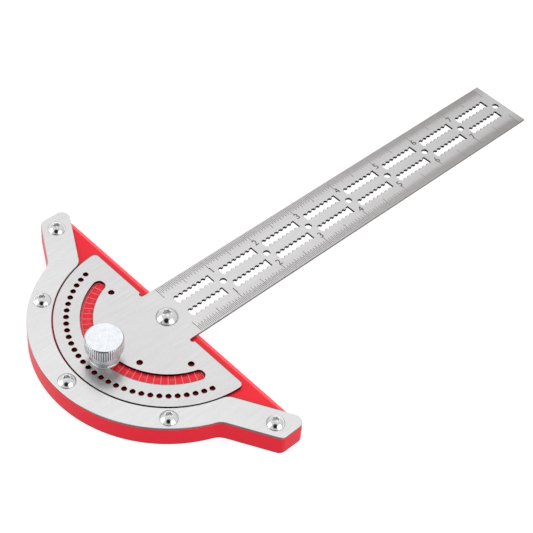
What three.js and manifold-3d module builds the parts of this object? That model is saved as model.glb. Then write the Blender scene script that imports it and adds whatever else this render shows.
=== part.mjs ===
// Edge-rule protractor for woodworking layout.
//
// A flat fence body with two ears carries a rim plate, held by five button-head screws. The
// blade is one sheet: a half-disc fan with a long rule. It turns on a bushing under the pivot
// screw, is held by a lock screw through the fan's arc slot, and is indexed by a sprung ball.
//
// Units are millimetres. +Z is up and +Y runs along the rule, which is square to the fence.
// The origin is on the pivot axis, at the underside of the fence body.

import * as THREE from 'three';
import { mergeVertices } from 'three/addons/utils/BufferGeometryUtils.js';
import Module from 'manifold-3d';

const wasm = await Module();
wasm.setup();

const INCH = 25.4;
const RAD = Math.PI / 180;

// Levels
const BODY_THICK = 9;
const RIM_THICK = 1.3;
const SHEET = 1.2;
const RUN_GAP = 0.05;
const FACE_GAP = 0.03;
const BLADE_LOW = BODY_THICK + RUN_GAP;
const BLADE_TOP = BLADE_LOW + SHEET;
const RIM_TOP = BODY_THICK + RIM_THICK;

// Outline shared by the fence body and the rim plate
const RIM_OUTER = 57.6;
const RIM_INNER = 47.4;
const EAR_ANGLE = 30;
const EAR_NEAR = 30.9;
const EAR_FAR = 44;
const EAR_END = 76.5;
const EAR_CORNER = 3.4;
const EAR_FILLET = 9;
const EAR_ROUND = 6;
const FENCE_Y = 6.1;
const FENCE_BEVEL = 3.2;
const RIM_TIP_Y = 5.8;

// Blade: fan and rule
const FAN_RADIUS = 46.8;
const FAN_CORNER = 2;
const RULE_HALF = 15.1;
const RULE_TIP = 213;
const RELIEF = 1.1;
const ZERO_Y = FENCE_Y;
const INCHES = 8;
const INCH_HOLE = 1.6;
const LOCK_RADIUS = 33.2;
const LOCK_SLOT_HALF = 2.7;
const LOCK_SLOT_SPAN = 71.6;
const INDEX_RADIUS = 41.5;
const INDEX_HOLE = 1.2;
const INDEX_SPAN = 75;
const INDEX_STEP = 5;
const SPOT_RADIUS = 26.8;
const SPOT_HOLE = 1.35;
const SPOT_ANGLES = [-70.5, 24.9, 70.5];

// Notched marking slots, measured from each inch mark
const SLOT_ROW_X = 4.55;
const SLOT_START = 2.5;
const SLOT_END = 22.5;
const SLOT_HALF = 1.5;
const NOTCHES = 8;
const NOTCH_PITCH = INCH / 10;
const NOTCH_RADIUS = 0.85;
const NOTCH_DEPTH = 0.75;
const NOTCH_FACETS = 3;

// Pivot: M5 button head screw, with a bushing that the blade turns on
const BUSH_RADIUS = 4;
const BUSH_BORE = 2.6;
const BUSH_LOW = 5.5;
const BUSH_TOP = BLADE_TOP + FACE_GAP;
const PIVOT_TIP = 2.2;
const PIVOT_DRILL = 1.5;

// Screws: shank, head, hex socket across the flats
const M5_SCREW = { shank: 2.5, head: 4.75, height: 2.75, hex: 3, socket: 1.6, crown: 2.6 };
const M4_SCREW = { shank: 2, head: 3.8, height: 2.2, hex: 2.5, socket: 1.3, crown: 2.1 };
const RIM_SCREW_TIP = 3.6;
const RIM_SCREW_DRILL = 3;
const RIM_SCREW_RADIUS = 52.4;
const RIM_SCREW_ANGLES = [-50, 0, 50];
const EAR_SCREW = { x: 69, y: -3.5 };
const THREAD_CLEARANCE = 0.1;
const SCREW_CLEARANCE = 0.25;

// Lock screw with its loose washer
const WASHER_RADIUS = 6.4;
const WASHER_BORE = 2.75;
const WASHER_THICK = 1;
const WASHER_LOW = BLADE_TOP + FACE_GAP;
const COLLAR_LOW = WASHER_LOW + WASHER_THICK;
const COLLAR_RADIUS = 5.3;
const COLLAR_HEIGHT = 5.2;
const KNOB_RADIUS = 8;
const KNOB_HEIGHT = 6;
const KNOB_CHAMFER = 0.6;
const KNURL_TEETH = 52;
const KNURL_DEPTH = 0.45;
const LOCK_TIP = 2.5;
const LOCK_DRILL = 1.5;

// Index detent: set screw, spring and ball, in a bore under the fan's middle index hole
const BALL_RADIUS = 1.75;
const BALL_BORE = 1.87;
const SET_SCREW_LOW = 0.3;
const SET_SCREW_TOP = 2.9;
const SET_SCREW_HEX = 2.5;
const SET_SCREW_SOCKET = 1.4;
const SET_SCREW_SEAT = 3;
const SPRING_RADIUS = 1.25;
const SPRING_WIRE = 0.2;
const SPRING_TURNS = 4;

// Facets: the largest gap between a round outline and its chords
const FACET_ERROR = 0.03;
const LATHE_SIDES = 28;
const WIRE_SIDES = 6;

const FINISH = {
  anodised: { color: 0xd8202f, metalness: 0.55, roughness: 0.42 },
  plate: { color: 0xdedde0, metalness: 0.85, roughness: 0.38 },
  chrome: { color: 0xd9dade, metalness: 1, roughness: 0.14 },
  turned: { color: 0xe2e3e6, metalness: 1, roughness: 0.24 },
  bronze: { color: 0xb08d57, metalness: 1, roughness: 0.35 },
  spring: { color: 0x8f9196, metalness: 1, roughness: 0.3 },
};

// ---- outlines

function point(x, y) {
  return new THREE.Vector2(x, y);
}

// Points of an arc about (cx, cy), from one angle to another, in degrees.
function arc(cx, cy, radius, from, to, facets = 0) {
  const facetAngle = 2 * Math.acos(1 - FACET_ERROR / radius);
  const count = facets || Math.max(2, Math.ceil((Math.abs(to - from) * RAD) / facetAngle));
  const points = [];
  for (let i = 0; i <= count; i += 1) {
    const angle = (from + ((to - from) * i) / count) * RAD;
    points.push(point(cx + radius * Math.cos(angle), cy + radius * Math.sin(angle)));
  }
  return points;
}

function circle(cx, cy, radius) {
  return arc(cx, cy, radius, 0, 360).slice(0, -1);
}

function hexagon(acrossFlats) {
  return arc(0, 0, acrossFlats / 2 / Math.cos(30 * RAD), 0, 360, 6).slice(0, -1);
}

// The mirror image in the Y axis, running the same way round as the original.
function mirrored(points) {
  return points.map((p) => point(-p.x, p.y)).reverse();
}

// A place on a circle about the pivot. The angle is counted from -Y towards +X.
function onFan(radius, degrees) {
  return point(radius * Math.sin(degrees * RAD), -radius * Math.cos(degrees * RAD));
}

// A point of the line parallel to the ear at a distance from the pivot, at a height y.
function onEarLine(distance, y) {
  return point((distance + y * Math.cos(EAR_ANGLE * RAD)) / Math.sin(EAR_ANGLE * RAD), y);
}

// The point at one distance across the ear's direction from the pivot, and another along it.
function earPlace(away, along) {
  const cos = Math.cos(EAR_ANGLE * RAD);
  const sin = Math.sin(EAR_ANGLE * RAD);
  return point(away * sin + along * cos, along * sin - away * cos);
}

// The right half of the outside, clockwise: the ear's end, its far side, and half of the rim.
function outsideHalf(topY) {
  const cornerX = EAR_END - EAR_CORNER;
  const low = onEarLine(EAR_FAR - EAR_CORNER, 0);
  const lowY = (cornerX - low.x) * Math.tan(EAR_ANGLE * RAD);
  const away = EAR_FAR + EAR_FILLET;
  const along = Math.sqrt((RIM_OUTER + EAR_FILLET) ** 2 - away ** 2);
  const fillet = earPlace(away, along);
  const meets = Math.atan2(fillet.y, fillet.x) / RAD;
  return [
    ...arc(cornerX, topY - EAR_CORNER, EAR_CORNER, 90, 0),
    ...arc(cornerX, lowY, EAR_CORNER, 0, EAR_ANGLE - 90),
    ...arc(fillet.x, fillet.y, EAR_FILLET, EAR_ANGLE + 90, meets + 180),
    ...arc(0, 0, RIM_OUTER, meets, -90).slice(1),
  ];
}

function bodyOutline() {
  const half = outsideHalf(FENCE_Y);
  return [...half, ...mirrored(half).slice(1)];
}

function rimOutline() {
  const half = outsideHalf(RIM_TIP_Y);
  const away = EAR_NEAR + EAR_ROUND;
  const along = Math.sqrt((RIM_INNER + EAR_ROUND) ** 2 - away ** 2);
  const centre = earPlace(away, along);
  const meets = Math.atan2(centre.y, centre.x) / RAD;
  const corner = arc(centre.x, centre.y, EAR_ROUND, meets + 180, EAR_ANGLE + 90);
  const tip = onEarLine(EAR_NEAR, RIM_TIP_Y);
  return [
    ...half,
    ...mirrored(half).slice(1),
    point(-tip.x, tip.y),
    ...mirrored(corner),
    ...arc(0, 0, RIM_INNER, -180 - meets, meets).slice(1, -1),
    ...corner,
    tip,
  ];
}

function bladeOutline() {
  const cornerX = Math.sqrt((FAN_RADIUS - FAN_CORNER) ** 2 - FAN_CORNER ** 2);
  const meets = Math.atan2(-FAN_CORNER, cornerX) / RAD;
  const half = [
    point(RULE_HALF, RULE_TIP),
    ...arc(RULE_HALF + RELIEF, 0, RELIEF, 180, 360),
    ...arc(cornerX, -FAN_CORNER, FAN_CORNER, 90, meets),
    ...arc(0, 0, FAN_RADIUS, meets, -90).slice(1),
  ];
  return [...half, ...mirrored(half).slice(1)];
}

function arcSlot() {
  const inner = LOCK_RADIUS - LOCK_SLOT_HALF;
  const outer = LOCK_RADIUS + LOCK_SLOT_HALF;
  const first = -90 - LOCK_SLOT_SPAN;
  const last = -90 + LOCK_SLOT_SPAN;
  const start = onFan(LOCK_RADIUS, -LOCK_SLOT_SPAN);
  const end = onFan(LOCK_RADIUS, LOCK_SLOT_SPAN);
  return [
    ...arc(0, 0, outer, first, last),
    ...arc(end.x, end.y, LOCK_SLOT_HALF, last, last + 180).slice(1),
    ...arc(0, 0, inner, last, first).slice(1),
    ...arc(start.x, start.y, LOCK_SLOT_HALF, first + 180, first + 360).slice(1, -1),
  ];
}

// One marking slot, with its low end at the given inch mark.
function markingSlot(rowX, markY) {
  const centreX = SLOT_HALF + NOTCH_DEPTH - NOTCH_RADIUS;
  const swing = Math.acos(1 - NOTCH_DEPTH / NOTCH_RADIUS) / RAD;
  const side = [point(SLOT_HALF, SLOT_START)];
  for (let i = 0; i < NOTCHES; i += 1) {
    const y = SLOT_START + (i + 0.5) * NOTCH_PITCH;
    const end = i < NOTCHES - 1 ? swing : 0;
    side.push(...arc(centreX, y, NOTCH_RADIUS, -swing, end, NOTCH_FACETS));
  }
  side.push(point(SLOT_HALF + NOTCH_DEPTH, SLOT_END));
  const loop = [...side, ...mirrored(side)];
  return loop.map((p) => point(rowX + p.x, markY + p.y));
}

function bladeOpenings() {
  const openings = [arcSlot(), circle(0, 0, BUSH_RADIUS + RUN_GAP)];
  for (let angle = -INDEX_SPAN; angle <= INDEX_SPAN; angle += INDEX_STEP) {
    const hole = onFan(INDEX_RADIUS, angle);
    openings.push(circle(hole.x, hole.y, INDEX_HOLE));
  }
  for (const angle of SPOT_ANGLES) {
    const hole = onFan(SPOT_RADIUS, angle);
    openings.push(circle(hole.x, hole.y, SPOT_HOLE));
  }
  for (let i = 0; i < INCHES; i += 1) {
    const markY = ZERO_Y + i * INCH;
    openings.push(circle(0, markY + INCH, INCH_HOLE));
    openings.push(markingSlot(SLOT_ROW_X, markY), markingSlot(-SLOT_ROW_X, markY));
  }
  return openings;
}

// ---- solids

function prism(outline, low, high, openings = []) {
  const shape = new THREE.Shape(outline);
  shape.holes = openings.map((points) => new THREE.Path(points));
  const geometry = new THREE.ExtrudeGeometry(shape, { depth: high - low, bevelEnabled: false });
  return geometry.translate(0, 0, low);
}

// A solid of revolution about Z from [radius, z] pairs that start and end on the axis.
function turned(profile, sides = LATHE_SIDES) {
  const points = profile.map(([radius, z]) => point(radius, z));
  return new THREE.LatheGeometry(points, sides).rotateX(Math.PI / 2);
}

function toManifold(geometry) {
  const bare = geometry.clone();
  bare.deleteAttribute('normal');
  bare.deleteAttribute('uv');
  const merged = mergeVertices(bare, 1e-5);
  const vertProperties = new Float32Array(merged.attributes.position.array);
  const triVerts = new Uint32Array(merged.index.array);
  return new wasm.Manifold(new wasm.Mesh({ numProp: 3, vertProperties, triVerts }));
}

function toGeometry(manifold) {
  const { vertProperties, triVerts } = manifold.getMesh();
  const geometry = new THREE.BufferGeometry();
  geometry.setAttribute('position', new THREE.BufferAttribute(vertProperties, 3));
  geometry.setIndex(new THREE.BufferAttribute(triVerts, 1));
  return geometry;
}

function cut(geometry, tools) {
  const solid = tools.reduce((left, tool) => left.subtract(toManifold(tool)), toManifold(geometry));
  return toGeometry(solid);
}

// A bore about (x, y) from one height to another, as a cutting tool.
function bore(x, y, radius, low, high) {
  return prism(circle(x, y, radius), low, high);
}

// A button-head screw standing on its head's underside at z = 0, with its tip below.
function buttonScrew(size, length) {
  const domeHeight = size.height * 0.8;
  const rim = size.height - domeHeight;
  const dome = [0, 0.4, 0.75, 1].map((t) => {
    const radius = size.head + (size.crown - size.head) * t;
    return [radius, rim + domeHeight * Math.sqrt(1 - (1 - t) ** 2)];
  });
  const chamfer = size.shank * 0.2;
  const profile = [
    [0, -length],
    [size.shank - chamfer, -length],
    [size.shank, -length + chamfer],
    [size.shank, 0],
    [size.head, 0],
    ...dome,
    [0, size.height],
  ];
  const socket = prism(hexagon(size.hex), size.height - size.socket, size.height + 1);
  return cut(turned(profile), [socket]);
}

function rimScrewPlaces() {
  const ears = [point(-EAR_SCREW.x, EAR_SCREW.y), point(EAR_SCREW.x, EAR_SCREW.y)];
  const arcs = RIM_SCREW_ANGLES.map((angle) => onFan(RIM_SCREW_RADIUS, angle));
  return [ears[0], ...arcs, ears[1]];
}

// ---- pieces

function fenceBody() {
  const above = BODY_THICK + 1;
  const bevel = new THREE.Shape([
    point(FENCE_Y - FENCE_BEVEL - 1, above),
    point(FENCE_Y + 1, BODY_THICK - FENCE_BEVEL - 1),
    point(FENCE_Y + 1, above),
  ]);
  const bevelTool = new THREE.ExtrudeGeometry(bevel, { depth: 2 * EAR_END + 2, bevelEnabled: false });
  bevelTool.rotateX(Math.PI / 2).rotateZ(Math.PI / 2).translate(-EAR_END - 1, 0, 0);
  const tapped = M4_SCREW.shank + THREAD_CLEARANCE;
  const tools = [
    bevelTool,
    bore(0, 0, BUSH_RADIUS + FACE_GAP, BUSH_LOW, above),
    bore(0, 0, M5_SCREW.shank + THREAD_CLEARANCE, PIVOT_DRILL, above),
    bore(0, -LOCK_RADIUS, M5_SCREW.shank + THREAD_CLEARANCE, LOCK_DRILL, above),
    bore(0, -INDEX_RADIUS, BALL_BORE, -1, above),
    bore(0, -INDEX_RADIUS, M5_SCREW.shank + THREAD_CLEARANCE, -1, SET_SCREW_SEAT),
    ...rimScrewPlaces().map((p) => bore(p.x, p.y, tapped, RIM_SCREW_DRILL, above)),
  ];
  return cut(prism(bodyOutline(), 0, BODY_THICK), tools);
}

function rimPlate() {
  const radius = M4_SCREW.shank + SCREW_CLEARANCE;
  const holes = rimScrewPlaces().map((p) => circle(p.x, p.y, radius));
  return prism(rimOutline(), BODY_THICK, RIM_TOP, holes);
}

function blade() {
  return prism(bladeOutline(), BLADE_LOW, BLADE_TOP, bladeOpenings());
}

function pivotBushing() {
  return prism(circle(0, 0, BUSH_RADIUS), BUSH_LOW, BUSH_TOP, [circle(0, 0, BUSH_BORE)]);
}

function lockWasher() {
  return prism(circle(0, 0, WASHER_RADIUS), 0, WASHER_THICK, [circle(0, 0, WASHER_BORE)]);
}

// The knurled head is a toothed prism held inside a chamfered disc. z = 0 is under the collar.
function lockKnob() {
  const top = COLLAR_HEIGHT + KNOB_HEIGHT;
  const tip = LOCK_TIP - COLLAR_LOW;
  const inner = KNOB_RADIUS - KNOB_CHAMFER;
  const teeth = [];
  for (let i = 0; i < 2 * KNURL_TEETH; i += 1) {
    const radius = KNOB_RADIUS - (i % 2 ? KNURL_DEPTH : 0);
    const angle = (Math.PI * i) / KNURL_TEETH;
    teeth.push(point(radius * Math.cos(angle), radius * Math.sin(angle)));
  }
  const disc = turned([
    [0, COLLAR_HEIGHT],
    [inner, COLLAR_HEIGHT],
    [KNOB_RADIUS, COLLAR_HEIGHT + KNOB_CHAMFER],
    [KNOB_RADIUS, top - KNOB_CHAMFER],
    [inner, top],
    [0, top],
  ], 2 * KNURL_TEETH);
  const stem = turned([
    [0, tip],
    [M5_SCREW.shank - 0.5, tip],
    [M5_SCREW.shank, tip + 0.5],
    [M5_SCREW.shank, 0],
    [COLLAR_RADIUS, 0],
    [COLLAR_RADIUS, COLLAR_HEIGHT + 1],
    [0, COLLAR_HEIGHT + 1],
  ]);
  const knurl = toManifold(prism(teeth, COLLAR_HEIGHT - 1, top + 1));
  return toGeometry(toManifold(disc).intersect(knurl).add(toManifold(stem)));
}

function detentBall() {
  return new THREE.SphereGeometry(BALL_RADIUS, 20, 12).rotateX(Math.PI / 2);
}

function detentSetScrew() {
  const outside = turned([
    [0, SET_SCREW_LOW],
    [M5_SCREW.shank, SET_SCREW_LOW],
    [M5_SCREW.shank, SET_SCREW_TOP - 0.4],
    [M5_SCREW.shank - 0.4, SET_SCREW_TOP],
    [0, SET_SCREW_TOP],
  ]);
  const socket = prism(hexagon(SET_SCREW_HEX), SET_SCREW_LOW - 1, SET_SCREW_LOW + SET_SCREW_SOCKET);
  return cut(outside, [socket]);
}

class Helix extends THREE.Curve {
  constructor(radius, low, high, turns) {
    super();
    Object.assign(this, { radius, low, high, turns });
  }

  getPoint(t, target = new THREE.Vector3()) {
    const angle = 2 * Math.PI * this.turns * t;
    const z = this.low + (this.high - this.low) * t;
    return target.set(this.radius * Math.cos(angle), this.radius * Math.sin(angle), z);
  }
}

// The coil stands on the set screw, and its top turn carries the ball.
function detentSpring() {
  const ballZ = BODY_THICK - BALL_RADIUS;
  const reach = Math.sqrt((BALL_RADIUS + SPRING_WIRE) ** 2 - SPRING_RADIUS ** 2);
  const low = SET_SCREW_TOP + SPRING_WIRE + FACE_GAP;
  const high = ballZ - reach - FACE_GAP;
  const path = new Helix(SPRING_RADIUS, low, high, SPRING_TURNS);
  const wire = new THREE.Shape(arc(0, 0, SPRING_WIRE, 0, 360, WIRE_SIDES).slice(0, -1));
  const steps = SPRING_TURNS * 12;
  return new THREE.ExtrudeGeometry(wire, { steps, extrudePath: path, bevelEnabled: false });
}

// ---- assembly

const protractor = new THREE.Group();

function add(name, geometry, finish, x = 0, y = 0, z = 0, parent = protractor) {
  const mesh = new THREE.Mesh(geometry, new THREE.MeshStandardMaterial(FINISH[finish]));
  mesh.name = name;
  mesh.position.set(x, y, z);
  parent.add(mesh);
  return mesh;
}

add('fence_body', fenceBody(), 'anodised');
add('rim_plate', rimPlate(), 'plate');
rimScrewPlaces().forEach((p, i) => {
  const screw = buttonScrew(M4_SCREW, RIM_TOP - RIM_SCREW_TIP);
  add(`rim_screw_${i + 1}`, screw, 'chrome', p.x, p.y, RIM_TOP);
});
add('pivot_bushing', pivotBushing(), 'bronze');
add('pivot_screw', buttonScrew(M5_SCREW, BUSH_TOP - PIVOT_TIP), 'chrome', 0, 0, BUSH_TOP);
add('blade', blade(), 'plate');

const lock = new THREE.Group();
lock.position.set(0, -LOCK_RADIUS, 0);
protractor.add(lock);
add('lock_washer', lockWasher(), 'turned', 0, 0, WASHER_LOW, lock);
add('lock_knob', lockKnob(), 'turned', 0, 0, COLLAR_LOW, lock);

const detent = new THREE.Group();
detent.position.set(0, -INDEX_RADIUS, 0);
protractor.add(detent);
add('detent_set_screw', detentSetScrew(), 'spring', 0, 0, 0, detent);
add('detent_spring', detentSpring(), 'spring', 0, 0, 0, detent);
add('detent_ball', detentBall(), 'chrome', 0, 0, BODY_THICK - BALL_RADIUS, detent);

export default protractor;
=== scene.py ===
"""Looks of the edge-rule protractor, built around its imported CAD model.

Lengths are in millimetres until a mesh is made, where MM turns them into metres. The frame is
the CAD frame: the pivot axis is X = Y = 0, +Y runs along the rule, and the body stands on Z = 0.
"""
from math import acos, atan2, ceil, cos, pi, radians, sin, sqrt, tan

import bmesh
import bpy
from mathutils import Euler, Matrix, Vector


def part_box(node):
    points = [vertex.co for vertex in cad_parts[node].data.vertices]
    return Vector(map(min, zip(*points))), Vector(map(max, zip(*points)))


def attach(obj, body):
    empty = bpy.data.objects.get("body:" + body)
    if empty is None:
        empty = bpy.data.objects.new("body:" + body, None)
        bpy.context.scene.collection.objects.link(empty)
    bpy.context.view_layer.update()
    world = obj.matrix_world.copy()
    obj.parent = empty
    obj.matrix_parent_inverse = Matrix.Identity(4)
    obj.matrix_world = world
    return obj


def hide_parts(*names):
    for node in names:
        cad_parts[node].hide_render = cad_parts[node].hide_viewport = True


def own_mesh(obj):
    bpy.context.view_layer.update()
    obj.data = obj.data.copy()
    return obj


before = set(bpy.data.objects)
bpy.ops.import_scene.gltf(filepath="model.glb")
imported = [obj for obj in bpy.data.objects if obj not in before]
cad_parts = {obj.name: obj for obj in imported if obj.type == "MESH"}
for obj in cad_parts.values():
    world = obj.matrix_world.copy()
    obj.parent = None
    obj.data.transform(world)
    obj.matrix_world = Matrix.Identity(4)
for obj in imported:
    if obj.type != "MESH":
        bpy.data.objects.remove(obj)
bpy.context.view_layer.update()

MM = 0.001


def level(node, end):
    """The height of a CAD node's underside (end 0) or top (end 1), in millimetres."""
    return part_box(node)[end].z / MM


# ---- sizes

BODY_TOP = level("fence_body", 1)
RIM_LOW = level("rim_plate", 0)
RIM_TOP = level("rim_plate", 1)
BLADE_LOW = level("blade", 0)
BLADE_TOP = level("blade", 1)

INCH = 25.4
RIM_OUTER = 57.6
RIM_INNER = 47.4
EAR_ANGLE = radians(30)
EAR_NEAR = 30.9
EAR_FAR = 44.0
EAR_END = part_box("fence_body")[1].x / MM
EAR_CORNER = 3.4
EAR_FILLET = 9.0
EAR_ROUND = 6.0
FENCE_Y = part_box("fence_body")[1].y / MM
FENCE_BEVEL = 3.2
RIM_TIP_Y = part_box("rim_plate")[1].y / MM

FAN_RADIUS = 46.8
FAN_CORNER = 2.0
RULE_HALF = 15.1
RULE_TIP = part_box("blade")[1].y / MM
RELIEF = 1.1
INCHES = 8
LOCK_RADIUS = 33.2
LOCK_SLOT_HALF = 2.7
LOCK_SLOT_SPAN = 71.6
INDEX_RADIUS = 41.5
INDEX_SPAN = 75
INDEX_STEP = 5
INDEX_HOLE = 1.2
SPOT_RADIUS = 26.8
SPOT_HOLE = 1.35
SPOT_ANGLES = (-70.5, 24.9, 70.5)
INCH_HOLE = 1.6
PIVOT_BORE = 4.05
SLOT_ROW_X = 4.55
SLOT_START = 2.5
SLOT_END = 22.5
SLOT_HALF = 1.5
NOTCHES = 8
NOTCH_PITCH = INCH / 10
NOTCH_RADIUS = 0.85
NOTCH_DEPTH = 0.75

# Bores in the body: radii, and the heights where they end or step
M5_TAPPED = 2.6
M4_TAPPED = 2.1
M4_HOLE = 2.25
BALL_BORE = 1.87
SET_SCREW_SEAT = 3
BLIND_END = 1.5
BUSHING_SEAT = 5.5
RIM_SCREW_END = 3

# Screws, knob and detent
M4_BUTTON = {"head": 3.8, "height": 2.2, "hexagon": 2.5, "socket": 1.3, "shank": 2.0}
M5_BUTTON = {"head": 4.75, "height": 2.75, "hexagon": 3.0, "socket": 1.6, "shank": 2.5}
KNOB_RADIUS = 8.0
KNOB_HEIGHT = 6.0
KNURL_TEETH = 52
KNURL_COLUMNS = 8
KNURL_DEPTH = 0.55

ROUND_SIDES = 72
SHARP_ANGLE = 32
ETCH_RISE = 0.012
ETCH_DEPTH = 0.03


# ---- outlines, in millimetres

def arc(cx, cy, radius, start, end, error=0.004, count=0):
    """Points of an arc about (cx, cy), in radians. The chords stay within error of it."""
    step = 2 * acos(1 - error / radius)
    count = count or max(3, ceil(abs(end - start) / step))
    angles = [start + (end - start) * i / count for i in range(count + 1)]
    return [(cx + radius * cos(a), cy + radius * sin(a)) for a in angles]


def circle(cx, cy, radius):
    return arc(cx, cy, radius, 0, 2 * pi)[:-1]


def mirrored(points):
    return [(-x, y) for x, y in reversed(points)]


def on_fan(radius, angle):
    """A place about the pivot. The angle is in degrees, from -Y towards +X."""
    return radius * sin(radians(angle)), -radius * cos(radians(angle))


def ear_place(away, along):
    """The point at one distance across the ear's direction from the pivot, and another along it."""
    return (away * sin(EAR_ANGLE) + along * cos(EAR_ANGLE),
            along * sin(EAR_ANGLE) - away * cos(EAR_ANGLE))


def outside_half(top_y):
    """The right half of the body's outside, clockwise from the top of the ear's end."""
    corner_x = EAR_END - EAR_CORNER
    low_x = (EAR_FAR - EAR_CORNER) / sin(EAR_ANGLE)
    low_y = (corner_x - low_x) * tan(EAR_ANGLE)
    away = EAR_FAR + EAR_FILLET
    along = sqrt((RIM_OUTER + EAR_FILLET) ** 2 - away ** 2)
    fillet_x, fillet_y = ear_place(away, along)
    meets = atan2(fillet_y, fillet_x)
    return (
        arc(corner_x, top_y - EAR_CORNER, EAR_CORNER, pi / 2, 0)
        + arc(corner_x, low_y, EAR_CORNER, 0, EAR_ANGLE - pi / 2)
        + arc(fillet_x, fillet_y, EAR_FILLET, EAR_ANGLE + pi / 2, meets + pi)
        + arc(0, 0, RIM_OUTER, meets, -pi / 2)[1:]
    )


def body_outline():
    half = outside_half(FENCE_Y)
    return half + mirrored(half)[1:]


def rim_outline():
    half = outside_half(RIM_TIP_Y)
    away = EAR_NEAR + EAR_ROUND
    along = sqrt((RIM_INNER + EAR_ROUND) ** 2 - away ** 2)
    corner_x, corner_y = ear_place(away, along)
    meets = atan2(corner_y, corner_x)
    corner = arc(corner_x, corner_y, EAR_ROUND, meets + pi, EAR_ANGLE + pi / 2)
    tip_x = (EAR_NEAR + RIM_TIP_Y * cos(EAR_ANGLE)) / sin(EAR_ANGLE)
    inner = arc(0, 0, RIM_INNER, -pi - meets, meets)[1:-1]
    near_side = mirrored(corner) + inner + corner
    return half + mirrored(half)[1:] + [(-tip_x, RIM_TIP_Y), *near_side, (tip_x, RIM_TIP_Y)]


def blade_outline():
    corner_x = sqrt((FAN_RADIUS - FAN_CORNER) ** 2 - FAN_CORNER ** 2)
    meets = atan2(-FAN_CORNER, corner_x)
    half = (
        [(RULE_HALF, RULE_TIP)]
        + arc(RULE_HALF + RELIEF, 0, RELIEF, pi, 2 * pi)
        + arc(corner_x, -FAN_CORNER, FAN_CORNER, pi / 2, meets)
        + arc(0, 0, FAN_RADIUS, meets, -pi / 2)[1:]
    )
    return half + mirrored(half)[1:]


def arc_slot():
    first = -pi / 2 - radians(LOCK_SLOT_SPAN)
    last = -pi / 2 + radians(LOCK_SLOT_SPAN)
    start_x, start_y = on_fan(LOCK_RADIUS, -LOCK_SLOT_SPAN)
    end_x, end_y = on_fan(LOCK_RADIUS, LOCK_SLOT_SPAN)
    return (
        arc(0, 0, LOCK_RADIUS + LOCK_SLOT_HALF, first, last)
        + arc(end_x, end_y, LOCK_SLOT_HALF, last, last + pi)[1:]
        + arc(0, 0, LOCK_RADIUS - LOCK_SLOT_HALF, last, first)[1:]
        + arc(start_x, start_y, LOCK_SLOT_HALF, first + pi, first + 2 * pi)[1:-1]
    )


def marking_slot(row_x, mark_y):
    """A slot with ten notches to the inch along both sides, for a pencil's tip."""
    centre_x = SLOT_HALF + NOTCH_DEPTH - NOTCH_RADIUS
    swing = acos(1 - NOTCH_DEPTH / NOTCH_RADIUS)
    side = [(SLOT_HALF, SLOT_START)]
    for i in range(NOTCHES):
        y = SLOT_START + (i + 0.5) * NOTCH_PITCH
        end = swing if i < NOTCHES - 1 else 0
        side += arc(centre_x, y, NOTCH_RADIUS, -swing, end, count=9)
    side.append((SLOT_HALF + NOTCH_DEPTH, SLOT_END))
    return [(row_x + x, mark_y + y) for x, y in side + mirrored(side)]


def blade_openings():
    openings = [arc_slot(), circle(0, 0, PIVOT_BORE)]
    for angle in range(-INDEX_SPAN, INDEX_SPAN + 1, INDEX_STEP):
        openings.append(circle(*on_fan(INDEX_RADIUS, angle), INDEX_HOLE))
    openings += [circle(*on_fan(SPOT_RADIUS, angle), SPOT_HOLE) for angle in SPOT_ANGLES]
    for i in range(INCHES):
        mark_y = FENCE_Y + i * INCH
        openings.append(circle(0, mark_y + INCH, INCH_HOLE))
        openings += [marking_slot(SLOT_ROW_X, mark_y), marking_slot(-SLOT_ROW_X, mark_y)]
    return openings


# ---- mesh making

def shade(mesh, sharp_angle=SHARP_ANGLE):
    """Smooth shading, except across edges sharper than sharp_angle in degrees."""
    mesh.polygons.foreach_set("use_smooth", [True] * len(mesh.polygons))
    mesh.set_sharp_from_angle(angle=radians(sharp_angle))


def new_mesh(name, work):
    """A mesh from a bmesh, which is freed."""
    mesh = bpy.data.meshes.new(name)
    work.to_mesh(mesh)
    work.free()
    return mesh


def finish_mesh(name, mesh, sharp_angle=SHARP_ANGLE):
    """A linked object from a mesh in metres, cleaned and shaded."""
    work = bmesh.new()
    work.from_mesh(mesh)
    bmesh.ops.remove_doubles(work, verts=work.verts, dist=1e-7)
    bmesh.ops.dissolve_degenerate(work, edges=work.edges, dist=1e-8)
    bmesh.ops.recalc_face_normals(work, faces=work.faces)
    work.to_mesh(mesh)
    work.free()
    shade(mesh, sharp_angle)
    mesh.materials.clear()
    piece = bpy.data.objects.new(name, mesh)
    bpy.context.collection.objects.link(piece)
    return piece


def curve_to_mesh(name, curve, matrix=None):
    """Turns a filled curve, in millimetres, into a mesh in metres."""
    holder = bpy.data.objects.new(name + "_curve", curve)
    bpy.context.collection.objects.link(holder)
    bpy.context.view_layer.update()
    graph = bpy.context.evaluated_depsgraph_get()
    mesh = bpy.data.meshes.new_from_object(holder.evaluated_get(graph))
    bpy.data.objects.remove(holder)
    bpy.data.curves.remove(curve)
    mesh.transform(Matrix.Scale(MM, 4) @ (matrix or Matrix.Identity(4)))
    return mesh


def plate(name, loops, low, high, chamfer):
    """A flat plate between two heights, with every edge and hole broken by a small chamfer."""
    curve = bpy.data.curves.new(name, "CURVE")
    curve.dimensions = "2D"
    curve.fill_mode = "BOTH"
    curve.extrude = (high - low) / 2 - chamfer
    curve.bevel_depth = chamfer
    curve.bevel_resolution = 0
    curve.offset = -chamfer
    for loop in loops:
        spline = curve.splines.new("POLY")
        spline.points.add(len(loop) - 1)
        spline.points.foreach_set("co", [n for x, y in loop for n in (x, y, 0, 1)])
        spline.use_cyclic_u = True
    mesh = curve_to_mesh(name, curve, Matrix.Translation((0, 0, (low + high) / 2)))
    return finish_mesh(name, mesh)


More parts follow.
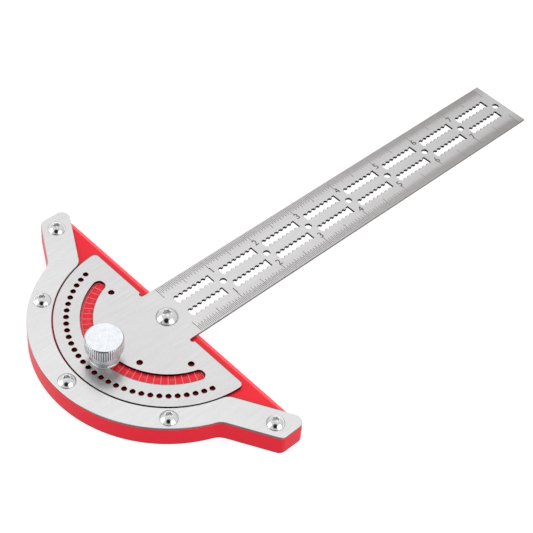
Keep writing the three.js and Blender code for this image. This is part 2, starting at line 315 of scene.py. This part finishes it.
def from_rings(name, rings, centre=(0, 0), ends="capped", sharp_angle=SHARP_ANGLE):
    """A skin over rings of equally many (x, y, z) points. Its ends are capped or joined up."""
    work = bmesh.new()
    rows = []
    for ring in rings:
        rows.append([work.verts.new(((x + centre[0]) * MM, (y + centre[1]) * MM, z * MM))
                     for x, y, z in ring])
    pairs = list(zip(rows, rows[1:]))
    if ends == "joined":
        pairs.append((rows[-1], rows[0]))
    for low, high in pairs:
        for i in range(len(low)):
            j = (i + 1) % len(low)
            work.faces.new((low[i], low[j], high[j], high[i]))
    if ends == "capped":
        work.faces.new(list(reversed(rows[0])))
        work.faces.new(rows[-1])
    return finish_mesh(name, new_mesh(name, work), sharp_angle)


def round_ring(radius, z, sides=ROUND_SIDES):
    return [(radius * cos(2 * pi * i / sides), radius * sin(2 * pi * i / sides), z)
            for i in range(sides)]


def hex_ring(across, z, sides=ROUND_SIDES):
    """A hexagon sampled at the same angles as a round ring, so the two can be joined."""
    points = []
    for i in range(sides):
        angle = 2 * pi * i / sides
        radius = across / 2 / cos(angle % (pi / 3) - pi / 6)
        points.append((radius * cos(angle), radius * sin(angle), z))
    return points


def boxes(name, strips):
    """One mesh of thin flat bars. A strip is (centre x, centre y, length, width, angle, low, high)."""
    work = bmesh.new()
    for x, y, length, width, angle, low, high in strips:
        place = (Matrix.Translation((x * MM, y * MM, (low + high) / 2 * MM))
                 @ Matrix.Rotation(angle, 4, "Z")
                 @ Matrix.Diagonal((length * MM, width * MM, (high - low) * MM, 1)))
        bmesh.ops.create_cube(work, size=1, matrix=place)
    return finish_mesh(name, new_mesh(name, work))


def digits(name, labels, surface):
    """Etched numbers as one mesh. A label is (text, x, y, height of the digits, angle)."""
    digit_share = 0.7  # of the font's size
    work = bmesh.new()
    for text, x, y, height, angle in labels:
        curve = bpy.data.curves.new(name, "FONT")
        curve.body = text
        curve.size = height / digit_share
        curve.align_x = "CENTER"
        curve.align_y = "CENTER"
        curve.extrude = (ETCH_RISE + ETCH_DEPTH) / 2
        curve.resolution_u = 6
        middle = surface + (ETCH_RISE - ETCH_DEPTH) / 2
        place = Matrix.Translation((x, y, middle)) @ Matrix.Rotation(angle, 4, "Z")
        mesh = curve_to_mesh(name, curve, place)
        work.from_mesh(mesh)
        bpy.data.meshes.remove(mesh)
    return finish_mesh(name, new_mesh(name, work))


def cut(piece, tool):
    """Cuts tool out of piece and removes tool."""
    modifier = piece.modifiers.new("cut", "BOOLEAN")
    modifier.operation = "DIFFERENCE"
    modifier.solver = "EXACT"
    modifier.object = tool
    bpy.context.view_layer.update()
    graph = bpy.context.evaluated_depsgraph_get()
    mesh = bpy.data.meshes.new_from_object(piece.evaluated_get(graph))
    piece.modifiers.clear()
    piece.data = mesh
    bpy.data.objects.remove(tool)
    shade(mesh)
    return piece


# ---- materials

def colour_sockets(mix):
    """The two colour inputs and the colour output of a mix node."""
    first, second = [s for s in mix.inputs if s.type == "RGBA"]
    result = [s for s in mix.outputs if s.type == "RGBA"][0]
    return first, second, result


class Nodes:
    """Short calls for building one material's nodes."""

    def __init__(self, name):
        self.material = bpy.data.materials.new(name)
        self.material.use_nodes = True
        self.tree = self.material.node_tree
        self.shader = self.tree.nodes["Principled BSDF"]
        frame_node = self.add("ShaderNodeTexCoord")
        self.place = frame_node.outputs["Object"]
        self.normal = frame_node.outputs["Normal"]

    def add(self, kind, **settings):
        node = self.tree.nodes.new(kind)
        for key, value in settings.items():
            setattr(node, key, value)
        return node

    def link(self, source, target):
        self.tree.links.new(source, target)

    def noise(self, scale, stretch=(1, 1, 1), detail=3, roughness=0.5):
        """Noise in the part's own frame. Scale is in cells per metre."""
        mapping = self.add("ShaderNodeMapping")
        mapping.inputs["Scale"].default_value = stretch
        self.link(self.place, mapping.inputs["Vector"])
        node = self.add("ShaderNodeTexNoise")
        node.inputs["Scale"].default_value = scale
        node.inputs["Detail"].default_value = detail
        node.inputs["Roughness"].default_value = roughness
        self.link(mapping.outputs["Vector"], node.inputs["Vector"])
        return node.outputs["Fac"]

    def spread(self, source, low, high):
        """Maps the middle of a 0 to 1 value onto low to high."""
        node = self.add("ShaderNodeMapRange")
        node.inputs["From Min"].default_value = 0.3
        node.inputs["From Max"].default_value = 0.7
        node.inputs["To Min"].default_value = low
        node.inputs["To Max"].default_value = high
        self.link(source, node.inputs["Value"])
        return node.outputs["Result"]

    def ramp(self, source, start, end):
        """Goes from 0 to 1 as the source goes from start to end, and is clamped beyond."""
        node = self.add("ShaderNodeMapRange")
        node.inputs["From Min"].default_value = start
        node.inputs["From Max"].default_value = end
        self.link(source, node.inputs["Value"])
        return node.outputs["Result"]

    def axis(self, letter):
        """One coordinate of the surface point in the part's own frame, in metres."""
        node = self.add("ShaderNodeSeparateXYZ")
        self.link(self.place, node.inputs[0])
        return node.outputs[letter]

    def facing(self, letter):
        """One component of the surface normal in the part's own frame."""
        node = self.add("ShaderNodeSeparateXYZ")
        self.link(self.normal, node.inputs[0])
        return node.outputs[letter]

    def maths(self, operation, first, second):
        node = self.add("ShaderNodeMath", operation=operation)
        for value, slot in zip((first, second), node.inputs):
            if isinstance(value, (int, float)):
                slot.default_value = value
            else:
                self.link(value, slot)
        return node.outputs["Value"]

    def mix(self, factor, first, second):
        """A blend of two colours, each an (r, g, b) tuple or a socket."""
        node = self.add("ShaderNodeMix", data_type="RGBA")
        self.link(factor, node.inputs["Factor"])
        *slots, result = colour_sockets(node)
        for value, slot in zip((first, second), slots):
            if isinstance(value, tuple):
                slot.default_value = (*value, 1)
            else:
                self.link(value, slot)
        return result

    def from_axis(self, vector):
        """The distance of a point from the Z axis, in metres."""
        flat = self.add("ShaderNodeVectorMath", operation="MULTIPLY")
        flat.inputs[1].default_value = (1, 1, 0)
        self.link(vector, flat.inputs[0])
        length = self.add("ShaderNodeVectorMath", operation="LENGTH")
        self.link(flat.outputs["Vector"], length.inputs[0])
        return length.outputs["Value"]

    def bump(self, height, distance, strength=1.0):
        node = self.add("ShaderNodeBump")
        node.inputs["Distance"].default_value = distance
        node.inputs["Strength"].default_value = strength
        self.link(height, node.inputs["Height"])
        self.link(node.outputs["Normal"], self.shader.inputs["Normal"])

    def wear(self, radius=0.0004):
        """1 at outer edges and 0 on flats, from the surface's own curvature."""
        bevel = self.add("ShaderNodeBevel", samples=4)
        bevel.inputs["Radius"].default_value = radius
        geometry = self.add("ShaderNodeNewGeometry")
        dot = self.add("ShaderNodeVectorMath", operation="DOT_PRODUCT")
        self.link(bevel.outputs["Normal"], dot.inputs[0])
        self.link(geometry.outputs["Normal"], dot.inputs[1])
        return self.maths("SUBTRACT", 1.0, dot.outputs["Value"])

    def set(self, **values):
        for key, value in values.items():
            self.shader.inputs[key.replace("_", " ")].default_value = value


def sheet_steel(name, tone, wall_shade_tone, edge_tone=None, edge_from=0, edge_to=0):
    """Satin stainless sheet: fine rolling grain, faint smudges, and laser-cut walls painted dark as
    painted shade.
    """
    nodes = Nodes(name)
    brushing = nodes.noise(2400, (1, 0.04, 1), detail=2)
    speckle = nodes.noise(1700, detail=2, roughness=0.6)
    smudge = nodes.noise(26, detail=4, roughness=0.6)
    colour = nodes.mix(nodes.spread(smudge, 0, 1), tuple(0.95 * c for c in tone), tone)
    colour = nodes.mix(nodes.spread(speckle, 0, 0.2), colour, tuple(0.72 * c for c in tone))
    if edge_tone:
        toward_edge = nodes.ramp(nodes.maths("ABSOLUTE", nodes.axis("X"), 0), edge_from, edge_to)
        along = nodes.maths("MULTIPLY", nodes.ramp(nodes.axis("Y"), 0.0, 0.012),
                            nodes.ramp(nodes.axis("Y"), -0.01, 0.2))
        toward_edge = nodes.maths("MULTIPLY", toward_edge, along)
        colour = nodes.mix(toward_edge, colour, edge_tone)
    # Painted shade: faces that stand upright are painted dark, with laser striations in the shade.
    wall = nodes.ramp(nodes.maths("ABSOLUTE", nodes.facing("Z"), 0), 0.55, 0.2)
    striation = nodes.noise(5200, (1, 1, 0.08), detail=2)
    wall_shade = nodes.mix(nodes.spread(striation, 0, 1), tuple(0.4 * c for c in wall_shade_tone), wall_shade_tone)
    nodes.link(nodes.mix(wall, colour, wall_shade), nodes.shader.inputs["Base Color"])
    rough = nodes.maths("ADD", nodes.spread(smudge, 0.28, 0.34), nodes.spread(brushing, -0.03, 0.03))
    rough = nodes.maths("ADD", rough, nodes.maths("MULTIPLY", wall, 0.25))
    nodes.link(rough, nodes.shader.inputs["Roughness"])
    nodes.bump(nodes.maths("ADD", brushing, nodes.maths("MULTIPLY", speckle, 0.5)), 0.000012, 0.6)
    nodes.set(Metallic=1.0)
    return nodes.material


def anodised_red():
    """Bead-blasted, red anodised aluminium, paler on its outer edges.

    Its machined sides are painted a shade deeper than its top, as painted shade. Two dark rings,
    painted shade and not a known feature, lie in the top where the fan's holes sweep over it.
    """
    deep, pale = (0.92, 0.030, 0.048), (0.97, 0.036, 0.056)
    # Tones of painted shade: the first for the hole floors, the second for the sides.
    hole_shade_tone = (0.12, 0.001, 0.004)
    side_shade_tone = (0.70, 0.010, 0.030)
    pale_edge_tone = (0.90, 0.13, 0.15)
    nodes = Nodes("red_anodised_finish")
    blast = nodes.noise(3800, detail=2, roughness=0.6)
    cloud = nodes.noise(40, detail=4)
    colour = nodes.mix(nodes.spread(cloud, 0, 1), deep, pale)
    away = nodes.from_axis(nodes.place)
    off_index, off_spots = [
        nodes.maths("ABSOLUTE", nodes.maths("SUBTRACT", away, radius * MM), 0)
        for radius in (INDEX_RADIUS, SPOT_RADIUS)]
    # Painted shade: dark rings on the top under the fan's index and spot holes darken their floors.
    hole_shade = nodes.ramp(nodes.maths("MINIMUM", off_index, off_spots), 0.0026, 0.0016)
    hole_shade = nodes.maths("MULTIPLY", hole_shade, nodes.ramp(nodes.facing("Z"), 0.5, 0.9))
    hole_shade = nodes.maths("MULTIPLY", hole_shade, nodes.ramp(nodes.axis("Y"), -0.004, -0.008))
    colour = nodes.mix(nodes.maths("MULTIPLY", hole_shade, 0.78), colour, hole_shade_tone)
    # Painted shade: the sides are darker than the top.
    side_shade = nodes.ramp(nodes.maths("ABSOLUTE", nodes.facing("Z"), 0), 0.5, 0.2)
    colour = nodes.mix(side_shade, colour, side_shade_tone)
    # Paler towards the outer edges, found from the surface's own curvature.
    edged_colour = nodes.mix(nodes.maths("MULTIPLY", nodes.wear(), 0.9), colour, pale_edge_tone)
    nodes.link(edged_colour, nodes.shader.inputs["Base Color"])
    nodes.link(nodes.spread(blast, 0.36, 0.46), nodes.shader.inputs["Roughness"])
    nodes.bump(blast, 0.00001, 0.5)
    nodes.set(Metallic=0.3, Specular_IOR_Level=0.12)
    return nodes.material


def bright_steel(name, tone, roughness):
    """Polished or turned metal with faint smudges and scratches."""
    nodes = Nodes(name)
    smudge = nodes.noise(220, detail=3)
    scratch = nodes.noise(900, (1, 1, 0.2), detail=3, roughness=0.7)
    colour = nodes.mix(nodes.spread(smudge, 0, 1), tone, tuple(0.9 * c for c in tone))
    nodes.link(colour, nodes.shader.inputs["Base Color"])
    nodes.link(nodes.spread(scratch, roughness - 0.03, roughness + 0.05),
               nodes.shader.inputs["Roughness"])
    nodes.bump(scratch, 0.000006, 0.4)
    nodes.set(Metallic=1.0)
    return nodes.material


def turned_face(name, tone, side_sheen_tone, centre_y, groove_radius, knurl_z):
    """Bright plating with turning marks on the tops and satin sides painted paler as a painted sheen;
    the grooves are painted dark as painted shade.
    """
    groove_shade_tone = (0.10, 0.10, 0.11)
    soft = 0.3  # mm over which a groove's shade sets in
    nodes = Nodes(name)
    mapping = nodes.add("ShaderNodeMapping")
    mapping.inputs["Location"].default_value = (0, -centre_y * MM, 0)
    nodes.link(nodes.place, mapping.inputs["Vector"])
    away = nodes.from_axis(mapping.outputs["Vector"])
    rings = nodes.add("ShaderNodeTexNoise", noise_dimensions="1D")
    rings.inputs["Scale"].default_value = 4200
    rings.inputs["Detail"].default_value = 3
    nodes.link(away, rings.inputs["W"])
    mottle = nodes.noise(600, detail=4, roughness=0.65)
    colour = nodes.mix(nodes.spread(mottle, 0, 1), tone, tuple(0.88 * c for c in tone))
    side = nodes.ramp(nodes.facing("Z"), 0.8, 0.4)
    rough = nodes.maths("ADD", nodes.spread(mottle, 0.16, 0.24),
                        nodes.spread(rings.outputs["Fac"], -0.03, 0.03))
    # Painted shade in the knurl's grooves, setting in towards the axis above the knurl's start.
    groove = nodes.ramp(away, groove_radius * MM, (groove_radius - soft) * MM)
    knurled = nodes.ramp(nodes.axis("Z"), knurl_z * MM, (knurl_z + soft) * MM)
    groove = nodes.maths("MULTIPLY", groove, knurled)
    # The sides' paler tone is a painted sheen.
    side_colour = nodes.mix(groove, side_sheen_tone, groove_shade_tone)
    colour = nodes.mix(side, colour, side_colour)
    nodes.link(colour, nodes.shader.inputs["Base Color"])
    rough = nodes.maths("ADD", rough, nodes.maths("MULTIPLY", side, 0.2))
    nodes.link(rough, nodes.shader.inputs["Roughness"])
    nodes.link(nodes.maths("SUBTRACT", 1.0, nodes.maths("MULTIPLY", side, 0.5)),
               nodes.shader.inputs["Metallic"])
    nodes.bump(rings.outputs["Fac"], 0.000008, 0.5)
    return nodes.material


def etched(name, tone, thin):
    """The dull bottom of an etched mark. Its strength varies a little, as etching does."""
    nodes = Nodes(name)
    patch = nodes.noise(700, detail=3, roughness=0.7)
    colour = nodes.mix(nodes.spread(patch, 0, 1), tone, thin)
    nodes.link(colour, nodes.shader.inputs["Base Color"])
    nodes.link(nodes.spread(patch, 0.5, 0.65), nodes.shader.inputs["Roughness"])
    nodes.bump(patch, 0.00001, 0.4)
    nodes.set(Specular_IOR_Level=0.3)
    return nodes.material


FINISH = {
    "red_anodised": anodised_red(),
    # The third tone of each sheet finish is the painted shade on its walls.
    "stainless_plate": sheet_steel("plate_finish", (0.60, 0.595, 0.60), (0.22, 0.22, 0.22)),
    "stainless_blade": sheet_steel("blade_finish", (0.557, 0.549, 0.552), (0.012, 0.010, 0.012),
                                   (0.37, 0.352, 0.348), 0.007, 0.016),
    # The rule's long-edge walls: the same painted wall shade, lighter.
    "ground_edge": sheet_steel("edge_finish", (0.557, 0.549, 0.552), (0.30, 0.28, 0.27)),
    "bright_screw": bright_steel("screw_finish", (0.95, 0.95, 0.96), 0.09),
    # Rougher steel for the sockets, darker as painted shade.
    "socket_steel": bright_steel("socket_shade_finish", (0.72, 0.72, 0.74), 0.25),
    "turned_steel": turned_face("knob_finish", (0.60, 0.615, 0.64), (0.93, 0.94, 0.96), -LOCK_RADIUS,
                                KNOB_RADIUS - 0.1, level("lock_knob", 1) - KNOB_HEIGHT),
    "bronze_bushing": bright_steel("bushing_finish", (0.60, 0.42, 0.20), 0.3),
    "dark_steel": bright_steel("dark_steel_finish", (0.16, 0.16, 0.17), 0.28),
    "bright_ball": bright_steel("ball_finish", (0.75, 0.75, 0.77), 0.06),
}
ETCH_DARK = etched("etch_dark", (0.035, 0.032, 0.034), (0.09, 0.085, 0.087))
ETCH_GREY = etched("etch_grey", (0.03, 0.026, 0.024), (0.075, 0.066, 0.062))
ETCH_FAINT = etched("etch_faint", (0.70, 0.20, 0.22), (0.66, 0.12, 0.15))
ETCH_LIGHT = etched("etch_light", (0.72, 0.52, 0.54), (0.68, 0.40, 0.42))


def dress(piece, slot, body, *nodes, finish=None):
    """Gives a piece its material, from its slot's finish unless another is given, puts it under its
    body's empty, and hides the CAD nodes it stands for.
    """
    piece.data.materials.append(finish or FINISH[slot])
    if nodes:
        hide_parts(*nodes)
    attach(piece, body)
    return piece


def second_finish(piece, name, chosen):
    """Gives the chosen faces of a dressed piece another finish."""
    piece.data.materials.append(FINISH[name])
    for face in piece.data.polygons:
        if chosen(face):
            face.material_index = 1
    return piece


# ---- the flat pieces

def centre_of(node):
    low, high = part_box(node)
    return (low.x + high.x) / 2 / MM, (low.y + high.y) / 2 / MM


RIM_SCREWS = [f"rim_screw_{i}" for i in range(1, 6)]


def fence_body():
    """The body, with its long front bevel and the bores for the screws, bushing and detent."""
    piece = plate("fence_body_fine", [body_outline()], 0, BODY_TOP, chamfer=0.25)
    above, below = BODY_TOP + 1, -1
    section = [(FENCE_Y - FENCE_BEVEL - 1, above), (FENCE_Y + 1, BODY_TOP - FENCE_BEVEL - 1),
               (FENCE_Y + 1, above)]
    reach = EAR_END + 1
    wedge = from_rings("bevel_tool", [[(x, y, z) for y, z in section] for x in (-reach, reach)])
    cut(piece, wedge)
    bores = [
        ((0, -INDEX_RADIUS), [(M5_TAPPED, below), (M5_TAPPED, SET_SCREW_SEAT),
                              (BALL_BORE, SET_SCREW_SEAT), (BALL_BORE, above)]),
        ((0, -LOCK_RADIUS), [(M5_TAPPED, BLIND_END), (M5_TAPPED, above)]),
        ((0, 0), [(M5_TAPPED, BLIND_END), (M5_TAPPED, BUSHING_SEAT),
                  (PIVOT_BORE, BUSHING_SEAT), (PIVOT_BORE, above)]),
    ]
    bores += [(centre_of(node), [(M4_TAPPED, RIM_SCREW_END), (M4_TAPPED, above)])
              for node in RIM_SCREWS]
    for centre, steps in bores:
        cut(piece, from_rings("bore_tool", [round_ring(radius, z) for radius, z in steps], centre))
    return dress(piece, "red_anodised", "fence", "fence_body")


def rim_plate():
    holes = [circle(*centre_of(node), M4_HOLE) for node in RIM_SCREWS]
    piece = plate("rim_plate_fine", [rim_outline(), *holes], RIM_LOW, RIM_TOP, chamfer=0.2)
    return dress(piece, "stainless_plate", "fence", "rim_plate")


def blade():
    """The blade. Its holes are cut with a laser, and the rule's long edges are ground; the walls carry
    painted shade, lighter on those long edges.
    """
    loops = [blade_outline(), *blade_openings()]
    piece = plate("blade_fine", loops, BLADE_LOW, BLADE_TOP, chamfer=0.07)
    dress(piece, "stainless_blade", "blade", "blade")

    def on_long_edge(face):
        outside = abs(face.center.x) > (RULE_HALF - 0.05) * MM and face.center.y > RELIEF * MM
        return outside and abs(face.normal.x) > 0.9

    return second_finish(piece, "ground_edge", on_long_edge)


# ---- marks

def graduations():
    """Graduations along both long edges, 32 to the inch, just short of the edge itself."""
    per_inch = 32
    edge_gap = 0.45
    lengths = {32: 6.0, 16: 5.4, 8: 4.4, 4: 4.0, 2: 3.9, 1: 3.0}
    strips = []
    low, high = BLADE_TOP - ETCH_DEPTH, BLADE_TOP + ETCH_RISE
    for count in range(INCHES * per_inch + 1):
        step = max(s for s in lengths if count % s == 0)
        length = lengths[step]
        width = 0.23 if step >= per_inch / 2 else 0.19
        y = FENCE_Y + count * INCH / per_inch
        for side in (-1, 1):
            middle = side * (RULE_HALF - edge_gap - length / 2)
            strips.append((middle, y, length, width, 0, low, high))
    piece = boxes("rule_graduations", strips)
    return dress(piece, "stainless_blade", "blade", finish=ETCH_GREY)


def rule_numbers():
    """The inch numbers 1 to 7, twice, read with the rule pointing to the right."""
    labels = []
    for inch in range(1, INCHES):
        y = FENCE_Y + inch * INCH + 0.3
        labels += [(str(inch), side * 7.5, y, 3.3, pi / 2) for side in (-1, 1)]
    piece = digits("rule_numbers", labels, BLADE_TOP)
    return dress(piece, "stainless_blade", "blade", finish=ETCH_DARK)


def angle_scale():
    """The degree scale on the body, seen through the fan's arc slot."""
    low, high = BODY_TOP - ETCH_DEPTH, BODY_TOP + ETCH_RISE
    long_inner, short_inner, outer = 30.4, 34.9, 36.6
    last = 75
    base = short_inner * radians(1.02)
    strips = []
    for angle in range(-last, last + 1):
        inner, width = (long_inner, 0.2) if angle % 5 == 0 else (short_inner, 0.12)
        x, y = on_fan((inner + outer) / 2, angle)
        strips.append((x, y, outer - inner, width, radians(angle - 90), low, high))
        if angle < last:
            x, y = on_fan(short_inner, angle + 0.5)
            strips.append((x, y, base, 0.1, radians(angle + 0.5), low, high))
    piece = boxes("angle_scale", strips)
    return dress(piece, "red_anodised", "fence", finish=ETCH_LIGHT)


def angle_numbers():
    labels = []
    for angle in range(-70, 71, 10):
        x, y = on_fan(32.4, angle + 2.5)
        labels.append((str(90 - abs(angle)), x, y, 1.2, radians(angle + 2.5)))
    piece = digits("angle_numbers", labels, BODY_TOP)
    return dress(piece, "red_anodised", "fence", finish=ETCH_FAINT)


# ---- screws, knob and the other turned pieces

def button_screw(node, head, height, hexagon, socket, shank):
    """A button-head screw with a domed head, a broken rim and a chamfered hex socket."""
    low, top = level(node, 0), level(node, 1)
    seat = top - height
    crown = hexagon / 2 + 0.35
    band = seat + 0.3
    centre_z = ((top ** 2 - band ** 2) - (head ** 2 - crown ** 2)) / (2 * (top - band))
    ball = sqrt(crown ** 2 + (top - centre_z) ** 2)
    rings = [round_ring(shank - 0.4, low), round_ring(shank, low + 0.4), round_ring(shank, seat),
             round_ring(head - 0.12, seat), round_ring(head, seat + 0.12)]
    steps = 12
    for i in range(steps + 1):
        radius = head + (crown - head) * i / steps
        rings.append(round_ring(radius, centre_z + sqrt(ball ** 2 - radius ** 2)))
    rings += [hex_ring(hexagon + 0.1, top - 0.05), hex_ring(hexagon, top - 0.15),
              hex_ring(hexagon, top - socket), round_ring(hexagon * 0.42, top - socket),
              round_ring(0.1, top - socket - 0.35)]
    piece = from_rings(node + "_fine", rings, centre_of(node))
    dress(piece, "bright_screw", "fence", node)
    centre = Vector((*centre_of(node), 0)) * MM

    def in_socket(face):
        from_axis = (face.center - centre).to_2d().length
        return from_axis < hexagon * 0.58 * MM and face.center.z > (top - socket - 0.5) * MM

    # The socket's faces are rougher and painted darker as painted shade.
    return second_finish(piece, "socket_steel", in_socket)


def lock_knob():
    """A knurled thumb screw: toothed head, grooved collar and plain shank."""
    low = level("lock_washer", 1)
    top = level("lock_knob", 1)
    tip = level("lock_knob", 0)
    head = top - KNOB_HEIGHT
    sides = KNURL_TEETH * KNURL_COLUMNS

    def knurl_ring(limit, z):
        """A toothed ring, turned down to a limiting radius."""
        ring = []
        for i in range(sides):
            phase = abs((i % KNURL_COLUMNS) / KNURL_COLUMNS * 2 - 1)
            radius = min(limit, KNOB_RADIUS - KNURL_DEPTH * max(0, 2.2 * phase - 1.2))
            angle = 2 * pi * i / sides
            ring.append((radius * cos(angle), radius * sin(angle), z))
        return ring

    # Profiles of (radius, height), from the shank's tip up to the head's face
    stem = [(2.0, tip), (2.5, tip + 0.5), (2.5, low + 0.001), (5.1, low), (5.3, low + 0.2),
            (5.3, low + 2.2), (5.1, low + 2.4), (4.7, low + 2.5), (4.7, low + 3.3),
            (5.3, low + 3.5), (5.3, head)]
    knurled = [(7.4, head), (7.65, head + 0.25), (KNOB_RADIUS, head + 0.55),
               (KNOB_RADIUS, top - 0.5), (7.75, top - 0.22)]
    face = [(7.62, top - 0.14), (7.5, top), (3.0, top)]
    rings = [round_ring(radius, z, sides) for radius, z in stem]
    rings += [knurl_ring(radius, z) for radius, z in knurled]
    rings += [round_ring(radius, z, sides) for radius, z in face]
    return from_rings("lock_knob_fine", rings, centre_of("lock_knob"), sharp_angle=40)


def ring_piece(node, outer, inner, chamfer):
    """A washer or sleeve with broken edges."""
    low, top = level(node, 0), level(node, 1)
    rings = [round_ring(inner + chamfer, low), round_ring(outer - chamfer, low),
             round_ring(outer, low + chamfer), round_ring(outer, top - chamfer),
             round_ring(outer - chamfer, top), round_ring(inner + chamfer, top),
             round_ring(inner, top - chamfer), round_ring(inner, low + chamfer)]
    return from_rings(node + "_fine", rings, centre_of(node), ends="joined")


def detent_ball():
    low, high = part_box("detent_ball")
    work = bmesh.new()
    bmesh.ops.create_uvsphere(work, u_segments=48, v_segments=24, radius=(high.z - low.z) / 2)
    bmesh.ops.translate(work, verts=work.verts, vec=(low + high) / 2)
    return finish_mesh("detent_ball_fine", new_mesh("detent_ball_fine", work))


def detent_set_screw():
    low, top = level("detent_set_screw", 0), level("detent_set_screw", 1)
    rings = [round_ring(0.1, low + 1.7), hex_ring(2.5, low + 1.4), hex_ring(2.5, low + 0.12),
             hex_ring(2.7, low), round_ring(2.3, low), round_ring(2.5, low + 0.2),
             round_ring(2.5, top - 0.4), round_ring(2.1, top)]
    return from_rings("detent_set_screw_fine", rings, centre_of("detent_set_screw"))


def detent_spring():
    """A round-wire coil of four turns, with the CAD coil's ends."""
    turns, steps, wire_sides = 4, 36, 12
    wire, radius = 0.2, 1.25
    low, high = level("detent_spring", 0) + wire, level("detent_spring", 1) - wire
    rings = []
    for i in range(turns * steps + 1):
        angle = 2 * pi * i / steps
        z = low + (high - low) * i / (turns * steps)
        ring = []
        for k in range(wire_sides):
            around = 2 * pi * k / wire_sides
            reach = radius + wire * cos(around)
            ring.append((reach * cos(angle), reach * sin(angle), z + wire * sin(around)))
        rings.append(ring)
    return from_rings("detent_spring_fine", rings, centre_of("detent_ball"))


# ---- the object

fence_body()
rim_plate()
blade()
graduations()
rule_numbers()
angle_scale()
angle_numbers()
for screw_node in RIM_SCREWS:
    button_screw(screw_node, **M4_BUTTON)
button_screw("pivot_screw", **M5_BUTTON)
dress(ring_piece("pivot_bushing", 4.0, 2.6, 0.15), "bronze_bushing", "fence", "pivot_bushing")
dress(ring_piece("lock_washer", 6.4, 2.75, 0.15), "turned_steel", "lock_washer", "lock_washer")
dress(lock_knob(), "turned_steel", "lock_knob", "lock_knob")
dress(detent_set_screw(), "dark_steel", "fence", "detent_set_screw")
dress(detent_ball(), "bright_ball", "detent_ball", "detent_ball")
spring = dress(detent_spring(), "dark_steel", "fence", "detent_spring")
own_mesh(spring)


# ---- floor, light and camera

def floor():
    """A pale floor, a hair below the underside so that the two don't share a plane."""
    mesh = bpy.data.meshes.new("floor")
    half = 6.0
    low = -0.1 * MM
    corners = [(-half, -half, low), (half, -half, low), (half, half, low), (-half, half, low)]
    mesh.from_pydata(corners, [], [(0, 1, 2, 3)])
    piece = bpy.data.objects.new("floor", mesh)
    bpy.context.collection.objects.link(piece)
    nodes = Nodes("pale_floor")
    tone = nodes.mix(nodes.spread(nodes.noise(6), 0, 1), (0.42, 0.42, 0.42), (0.45, 0.45, 0.45))
    nodes.link(tone, nodes.shader.inputs["Base Color"])
    nodes.set(Roughness=0.9, Emission_Color=(1, 1, 1, 1), Emission_Strength=0.78)
    mesh.materials.append(nodes.material)


def studio_sky():
    """A soft dome, brightest high up behind the object and dark around the camera."""
    world = bpy.data.worlds.new("studio")
    bpy.context.scene.world = world
    world.use_nodes = True
    tree = world.node_tree
    background = tree.nodes["Background"]
    place = tree.nodes.new("ShaderNodeTexCoord")

    def lobe(direction, stops):
        """A brightness ramp over the angle from one direction, given as (degrees, value)."""
        dot = tree.nodes.new("ShaderNodeVectorMath")
        dot.operation = "DOT_PRODUCT"
        dot.inputs[1].default_value = Vector(direction).normalized()
        tree.links.new(place.outputs["Generated"], dot.inputs[0])
        ramp = tree.nodes.new("ShaderNodeValToRGB")
        elements = ramp.color_ramp.elements
        while len(elements) < len(stops):
            elements.new(0.5)
        for element, (angle, value) in zip(elements, reversed(stops)):
            element.position = cos(radians(angle)) / 2 + 0.5
            element.color = (value, value, value, 1)
        half = tree.nodes.new("ShaderNodeMapRange")
        half.inputs["From Min"].default_value = -1
        tree.links.new(dot.outputs["Value"], half.inputs["Value"])
        tree.links.new(half.outputs["Result"], ramp.inputs["Fac"])
        return ramp.outputs["Color"]

    bright = lobe((-0.42, 0.36, 0.83),
                  ((0, 1.0), (11, 1.0), (20, 0.56), (32, 0.44), (90, 0.40), (150, 0.3)))
    dark = lobe((0.46, -0.50, 0.72), ((0, 0.02), (18, 0.03), (25, 0.6), (32, 1.0), (180, 1.0)))
    both = tree.nodes.new("ShaderNodeMix")
    both.data_type = "RGBA"
    both.blend_type = "MULTIPLY"
    both.inputs["Factor"].default_value = 1
    first, second, product = colour_sockets(both)
    tree.links.new(bright, first)
    tree.links.new(dark, second)
    tree.links.new(product, background.inputs["Color"])
    background.inputs["Strength"].default_value = 1.65


def softbox(name, location, size, power):
    """A square area light that faces the object."""
    data = bpy.data.lights.new(name, "AREA")
    data.shape = "SQUARE"
    data.size = size
    data.energy = power
    light = bpy.data.objects.new(name, data)
    light.location = location
    aim = Vector((0, 0.05, 0)) - light.location
    light.rotation_euler = aim.to_track_quat("-Z", "Y").to_euler()
    bpy.context.collection.objects.link(light)


def camera():
    """A long lens from the front right, looking down, with a slight roll."""
    azimuth, elevation, roll = radians(42.55), radians(46.92), radians(5.57)
    target = Vector((5.8 * MM, 51.3 * MM, BLADE_TOP * MM))
    distance = 653.3 * MM
    data = bpy.data.cameras.new("camera")
    data.lens = 102.8
    data.sensor_width = 36
    data.clip_start = 0.01
    view = bpy.data.objects.new("camera", data)
    turn = Euler((pi / 2 - elevation, 0, azimuth)).to_matrix() @ Matrix.Rotation(roll, 3, "Z")
    view.matrix_world = Matrix.Translation(target + turn @ Vector((0, 0, distance))) @ turn.to_4x4()
    bpy.context.collection.objects.link(view)
    bpy.context.scene.camera = view


floor()
studio_sky()
softbox("front_left", (-0.62, -0.95, 0.50), 0.95, 3.0)
softbox("front_right", (1.05, 0.10, 0.50), 0.95, 3.0)
camera()
bpy.context.scene.view_settings.view_transform = "Standard"
